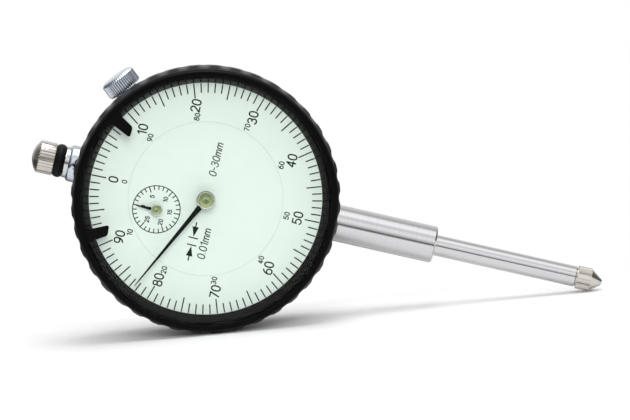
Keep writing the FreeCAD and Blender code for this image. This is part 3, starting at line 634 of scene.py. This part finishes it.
def counter_print():
    """Small scale of the revolution counter, one graduation for each millimetre."""
    ring = [polar(COUNTER, COUNTER_RING, 5 * i) for i in range(72)]
    meshes = [stroke(ring, 0.20 * MM, INK_HEIGHT + INK_STEP, closed=True)]
    for i in range(30):
        inner = (3.85 if i % 5 == 0 else 4.25) * MM
        meshes.append(tick(COUNTER, inner, COUNTER_RING, 12 * i, 0.22 * MM))
    for i in range(0, 30, 5):
        place = polar(COUNTER, COUNTER_DIGITS_AT, 12 * i)
        meshes += lettering(str(i), place, 1.05 * MM, 0.19 * MM, 0.06 * MM)
    add_print("counter_scale", "case", meshes)


def graduation_print():
    """What one graduation is worth: two bars between arrows, the value, and the range."""
    middle = Vector((DIAL.x - 9.7 * MM, DIAL.z + 0.7 * MM))
    bar_half = 0.95 * MM
    bar_x = 0.79 * MM
    lean = 0.03
    meshes = []
    for side in (-1, 1):
        foot = middle + Vector((side * bar_x - lean * bar_half, -bar_half))
        head = middle + Vector((side * bar_x + lean * bar_half, bar_half))
        meshes.append(stroke([foot, head], 0.26 * MM, INK_HEIGHT + INK_STEP))
        up = Vector((0, 1))
        tail, base, tip = (middle + Vector((side * x * MM, 0)) for x in (4.3, 3.25, 1.05))
        arrow = [(tail, up, 0.14 * MM), (base, up, 0.14 * MM), (base, up, 0.72 * MM), (tip, up, 0)]
        meshes.append(strip(arrow, INK_HEIGHT))
    place = Vector((DIAL.x - 9.6 * MM, DIAL.z - 1.9 * MM))
    meshes += lettering("0.01mm", place, 1.80 * MM, 0.22 * MM, 0.15 * MM, lean=0.10)
    place = Vector((DIAL.x + 8.9 * MM, DIAL.z - 0.3 * MM))
    meshes += lettering("0-30mm", place, 1.75 * MM, 0.22 * MM, 0.14 * MM, lean=0.16)
    add_print("graduation_value", "case", meshes)


# ---- stage, light and camera --------------------------------------------------------------
CAMERA_SIDE = Vector((0, -1, 0))
VIEW_RIGHT = Vector((math.sin(SLOPE), 0, -math.cos(SLOPE)))
VIEW_UP = Vector((math.cos(SLOPE), 0, math.sin(SLOPE)))
FLOOR_TILT = math.radians(18.1)   # angle between the plunger and the sheet
FLOOR_UP = Vector((math.cos(FLOOR_TILT), 0, math.sin(FLOOR_TILT)))
FLOOR_RIGHT = Vector((math.sin(FLOOR_TILT), 0, -math.cos(FLOOR_TILT)))
FLOOR_LEVEL = DIAL - FLOOR_UP * BEZEL_WIDEST
SHEET_BEHIND = 0.030          # reach of the sheet behind the pointer's joint, before it and to each side
SHEET_BEFORE = 0.25
SHEET_HALF = 0.60


def look_along(direction, up):
    """Rotation of a camera or lamp whose -Z runs along the direction."""
    back = -direction.normalized()
    right = up.cross(back).normalized()
    return Matrix((right, back.cross(right), back)).transposed().to_4x4()


def faded(tree, places, missing, start, end):
    """Share of the sheet that is missing, with one more stretch along Y where it fades out."""
    fade = tree.nodes.new("ShaderNodeMapRange")
    fade.inputs["From Min"].default_value = start
    fade.inputs["From Max"].default_value = end
    tree.links.new(places, fade.inputs["Value"])
    either = tree.nodes.new("ShaderNodeMath")
    either.operation = "MAXIMUM"
    tree.links.new(fade.outputs["Result"], either.inputs[0])
    tree.links.new(missing, either.inputs[1])
    return either.outputs["Value"]


def sheet_material():
    """Matt white that fades out behind the object and towards the camera, and has no underside."""
    material, tree, shader = new_material("white_sheet")
    paper = shaded(tree, noise(tree, 20 * MM), (0.84, 0.84, 0.84), (0.86, 0.86, 0.86))
    tree.links.new(paper, shader.inputs["Base Color"])
    shader.inputs["Roughness"].default_value = 0.8
    shader.inputs["Specular IOR Level"].default_value = 0.1
    side = tree.nodes.new("ShaderNodeNewGeometry")
    clear = tree.nodes.new("ShaderNodeBsdfTransparent")
    mix = tree.nodes.new("ShaderNodeMixShader")
    place = tree.nodes.new("ShaderNodeSeparateXYZ")
    tree.links.new(side.outputs["Position"], place.inputs["Vector"])
    missing = side.outputs["Backfacing"]
    missing = faded(tree, place.outputs["Y"], missing, 0.0, SHEET_BEHIND)
    missing = faded(tree, place.outputs["Y"], missing, -0.10, -SHEET_BEFORE)
    tree.links.new(missing, mix.inputs["Fac"])
    tree.links.new(shader.outputs["BSDF"], mix.inputs[1])
    tree.links.new(clear.outputs["BSDF"], mix.inputs[2])
    tree.links.new(mix.outputs["Shader"], tree.nodes["Material Output"].inputs["Surface"])
    return material


def floor():
    """Plain white sheet that the rim of the bezel and the contact stand on."""
    corners = []
    for along, out in ((-SHEET_HALF, -SHEET_BEHIND), (SHEET_HALF, -SHEET_BEHIND),
                       (SHEET_HALF, SHEET_BEFORE), (-SHEET_HALF, SHEET_BEFORE)):
        corners.append(FLOOR_LEVEL + FLOOR_RIGHT * along + CAMERA_SIDE * out)
    mesh = bpy.data.meshes.new("floor")
    mesh.from_pydata([tuple(corner) for corner in corners], [], [(0, 1, 2, 3)])
    if mesh.polygons[0].normal.dot(FLOOR_UP) < 0:
        mesh.flip_normals()
    mesh.materials.append(sheet_material())
    sheet = bpy.data.objects.new("floor", mesh)
    bpy.context.scene.collection.objects.link(sheet)


def lamp(name, place, size, power, aim):
    light = bpy.data.lights.new(name, "AREA")
    light.shape = "RECTANGLE"
    light.size, light.size_y = size
    light.energy = power
    holder = bpy.data.objects.new(name, light)
    up = VIEW_RIGHT if abs((aim - place).normalized().dot(VIEW_RIGHT)) < 0.9 else VIEW_UP
    holder.matrix_world = Matrix.Translation(place) @ look_along(aim - place, up)
    bpy.context.scene.collection.objects.link(holder)
    holder.visible_camera = False
    return holder


# Brightness all round the object, by degrees up from the horizon in front of it: the dark side where
# the camera stands, a bright panel overhead and a greyer wall behind.
SURROUND = (
    (-180, 0.30), (-100, 0.30), (-60, 0.80), (-30, 0.95), (-16, 0.84), (-11, 0.66), (-4, 0.36), (-1, 0.08),
    (3, 0.10), (6, 0.50), (13, 0.80), (18, 1.03), (24, 1.20), (32, 1.30), (44, 1.05), (52, 0.96), (58, 1.20),
    (67, 1.60), (88, 1.60), (96, 1.25), (106, 0.75), (115, 0.67), (126, 0.84), (159, 0.95), (180, 0.95))


# The surround gets darker towards both ends of the horizon's line, from left to right.
SIDES = (
    (0, 0.15), (0.10, 0.20), (0.22, 0.55), (0.35, 0.90), (0.50, 1.0), (0.65, 0.95), (0.80, 0.60),
    (0.92, 0.20), (1, 0.15))


def fill_ramp(elements, stops):
    while len(elements) < len(stops):
        elements.new(0.5)
    for element, (position, grey) in zip(elements, stops):
        element.position = position
        element.color = (grey, grey, grey, 1)


def along_axis(tree, direction, axis):
    """How far a direction points along an axis."""
    dot = tree.nodes.new("ShaderNodeVectorMath")
    dot.operation = "DOT_PRODUCT"
    dot.inputs[1].default_value = axis
    tree.links.new(direction, dot.inputs[0])
    return dot.outputs["Value"]


def grey_by(tree, value, low, high, stops):
    """Grey that follows a value between two limits."""
    share = tree.nodes.new("ShaderNodeMapRange")
    share.inputs["From Min"].default_value = low
    share.inputs["From Max"].default_value = high
    tree.links.new(value, share.inputs["Value"])
    ramp = tree.nodes.new("ShaderNodeValToRGB")
    fill_ramp(ramp.color_ramp.elements, stops)
    tree.links.new(share.outputs["Result"], ramp.inputs["Fac"])
    return ramp.outputs["Color"]


def surround(tree, brightest):
    """Colour of the surround in every direction, as a share of the brightest."""
    direction = tree.nodes.new("ShaderNodeTexCoord").outputs["Generated"]
    angle = tree.nodes.new("ShaderNodeMath")
    angle.operation = "ARCTAN2"
    tree.links.new(along_axis(tree, direction, FLOOR_UP), angle.inputs[0])
    tree.links.new(along_axis(tree, direction, CAMERA_SIDE), angle.inputs[1])
    stops = [((degrees + 180) / 360, grey / brightest) for degrees, grey in SURROUND]
    both = tree.nodes.new("ShaderNodeMix")
    both.data_type = "RGBA"
    both.blend_type = "MULTIPLY"
    both.inputs["Factor"].default_value = 1
    tree.links.new(grey_by(tree, angle.outputs["Value"], -math.pi, math.pi, stops), both.inputs["A"])
    sideways = along_axis(tree, direction, FLOOR_RIGHT)
    tree.links.new(grey_by(tree, sideways, -1, 1, SIDES), both.inputs["B"])
    return both.outputs["Result"]


def studio():
    """Surround lit by angle about the horizon's own line; seen directly it is plain white."""
    world = bpy.data.worlds.new("studio")
    bpy.context.scene.world = world
    world.use_nodes = True
    tree = world.node_tree
    brightest = max(grey for degrees, grey in SURROUND)
    background = tree.nodes["Background"]
    background.inputs["Strength"].default_value = brightest
    tree.links.new(surround(tree, brightest), background.inputs["Color"])
    white = tree.nodes.new("ShaderNodeBackground")
    white.inputs["Color"].default_value = (1, 1, 1, 1)
    path = tree.nodes.new("ShaderNodeLightPath")
    choose = tree.nodes.new("ShaderNodeMixShader")
    tree.links.new(path.outputs["Is Camera Ray"], choose.inputs["Fac"])
    tree.links.new(background.outputs["Background"], choose.inputs[1])
    tree.links.new(white.outputs["Background"], choose.inputs[2])
    tree.links.new(choose.outputs["Shader"], tree.nodes["World Output"].inputs["Surface"])


def lights():
    aim = Vector((0, 0, DIAL.z / 2))
    lamp("overhead", aim + FLOOR_UP * 0.60 + VIEW_RIGHT * 0.05, (0.50, 0.25), 1.6, aim)
    front = lamp("front", aim + FLOOR_UP * 0.40 + CAMERA_SIDE * 0.90, (0.50, 0.40), 4.2, aim)
    front.visible_glossy = False


def camera():
    side = CAMERA_SIDE * math.cos(ELEVATION) * math.cos(AZIMUTH)
    back = side + VIEW_UP * math.sin(ELEVATION) + VIEW_RIGHT * math.cos(ELEVATION) * math.sin(AZIMUTH)
    right = VIEW_UP.cross(back).normalized()
    up = back.cross(right)
    aim = Vector((DIAL.x, DIAL_FACE, DIAL.z)) + right * AIM_RIGHT - up * AIM_DOWN
    data = bpy.data.cameras.new("camera")
    data.sensor_width = SENSOR
    data.lens = LENS
    data.clip_end = 10
    holder = bpy.data.objects.new("camera", data)
    turn = Matrix((right, up, back)).transposed().to_4x4()
    holder.matrix_world = Matrix.Translation(aim + back * CAMERA_DISTANCE) @ turn
    bpy.context.scene.collection.objects.link(holder)
    bpy.context.scene.camera = holder


dress_nodes()
bezel()
clamp_screw()
spindle_cap()
dial_edge()
hub("pointer_hub", "main_pointer", "pointer_turn", "centre_arbor")
hub("counter_hub", "counter_pointer", "counter_turn", "counter_wheel")
scale_print()
counter_print()
graduation_print()
floor()
studio()
lights()
camera()
bpy.context.scene.view_settings.view_transform = "Standard"
